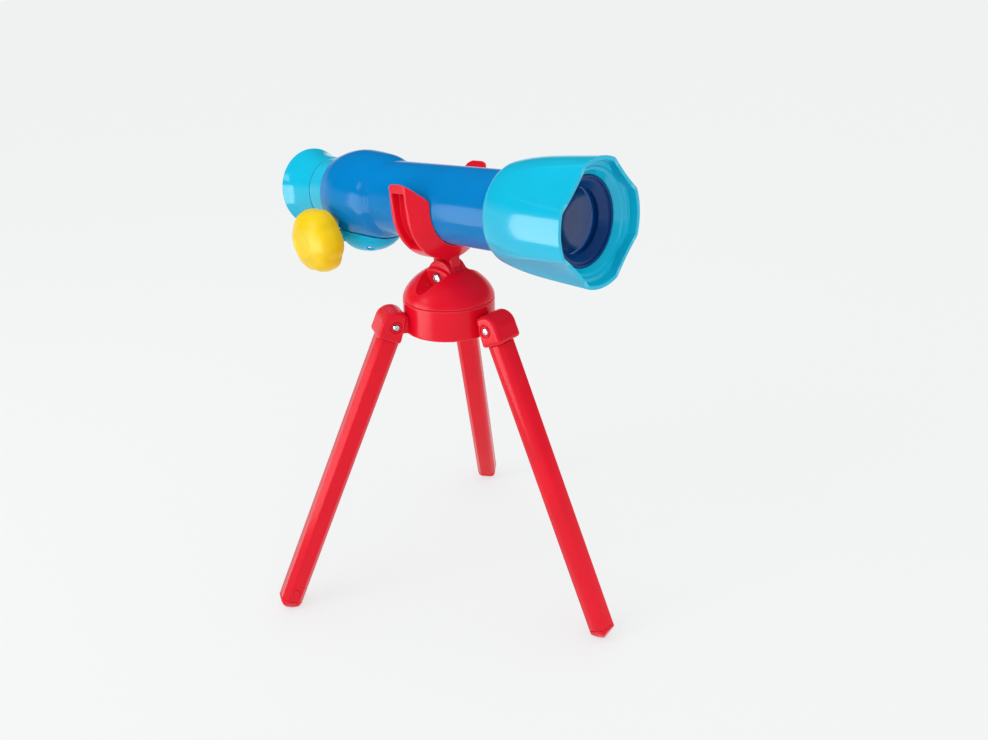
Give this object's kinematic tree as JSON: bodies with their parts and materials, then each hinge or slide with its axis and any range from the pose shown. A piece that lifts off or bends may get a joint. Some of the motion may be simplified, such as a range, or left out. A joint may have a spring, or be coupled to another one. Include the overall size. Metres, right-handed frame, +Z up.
{
  "type": "toy telescope",
  "caption": "Toy telescope held in a tilting yoke on a folding tripod, with a flared hood, a knob-driven sliding eyepiece, a swivelling domed head and hinged hollow legs.",
  "frame": {"origin": "floor point under the middle of the bounding box", "axes": "+X the way the telescope points, +Z up, the focus knob on the -Y side"},
  "size_m": [0.2742, 0.2344, 0.3183],
  "materials": {
    "red_plastic": "moulded satin gloss",
    "blue_plastic": "moulded gloss",
    "cyan_plastic": "moulded gloss",
    "teal_plastic": "moulded gloss",
    "yellow_plastic": "moulded satin gloss",
    "navy_plastic": "moulded satin",
    "clear_lens": "polished",
    "screw_steel": "zinc plated"
  },
  "bodies": {
    "tripod": {"tripod_base": "red_plastic"},
    "head": {"pan_head": "red_plastic", "pan_washer": "screw_steel", "pan_screw": "screw_steel", "tilt_screw": "screw_steel", "tilt_nut": "screw_steel"},
    "scope": {"yoke": "red_plastic", "barrel": "blue_plastic", "hood": "cyan_plastic", "objective_lens": "clear_lens", "lens_retainer": "navy_plastic", "focus_pod": "teal_plastic", "pod_screw_1": "screw_steel", "pod_screw_2": "screw_steel"},
    "eyepiece": {"draw_tube": "cyan_plastic", "focus_rack": "cyan_plastic", "eyecup": "cyan_plastic", "eye_lens": "clear_lens", "eye_lens_retainer": "navy_plastic"},
    "focus_drive": {"focus_shaft": "screw_steel", "focus_pinion": "yellow_plastic", "shaft_clip": "screw_steel", "focus_knob": "yellow_plastic"},
    "leg_1": {"leg_knuckle_1": "red_plastic", "leg_tube_1": "red_plastic", "leg_foot_1": "red_plastic", "leg_screw_1": "screw_steel", "leg_nut_1": "screw_steel"},
    "leg_2": {"leg_knuckle_2": "red_plastic", "leg_tube_2": "red_plastic", "leg_foot_2": "red_plastic", "leg_screw_2": "screw_steel", "leg_nut_2": "screw_steel"},
    "leg_3": {"leg_knuckle_3": "red_plastic", "leg_tube_3": "red_plastic", "leg_foot_3": "red_plastic", "leg_screw_3": "screw_steel", "leg_nut_3": "screw_steel"}
  },
  "joints": [
    {"name": "leg_fold_1", "type": "hinge", "parent": "tripod", "child": "leg_1", "pos_m": [0.04258, 0.00831, 0.2017], "axis": [-0.083, 0.9966, 0], "range_deg": [0, 24]},
    {"name": "leg_fold_2", "type": "hinge", "parent": "tripod", "child": "leg_2", "pos_m": [-0.01806, 0.03689, 0.2017], "axis": [-0.8215, -0.5701, 0], "range_deg": [0, 24]},
    {"name": "leg_fold_3", "type": "hinge", "parent": "tripod", "child": "leg_3", "pos_m": [-0.01249, -0.02991, 0.2017], "axis": [0.9045, -0.4264, 0], "range_deg": [0, 24]},
    {"name": "pan", "type": "hinge", "parent": "tripod", "child": "head", "pos_m": [0.00401, 0.0051, 0.2143], "axis": [0, 0, 1], "continuous": true},
    {"name": "tilt", "type": "hinge", "parent": "head", "child": "scope", "pos_m": [0.00401, 0.0051, 0.2281], "axis": [0, -1, 0], "range_deg": [-10, 35]},
    {"name": "focus_turn", "type": "hinge", "parent": "scope", "child": "focus_drive", "pos_m": [-0.08108, 0.0051, 0.24378], "axis": [0, 1, 0], "range_deg": [-171, 137]},
    {"name": "focus_slide", "type": "slide", "parent": "scope", "child": "eyepiece", "axis": [0.9976, 0, 0.0692], "range_m": [-0.015, 0.012]}
  ],
  "couplings": [
    {"joint": "focus_slide", "follows": "focus_turn", "m_per_rad": 0.005}
  ]
}
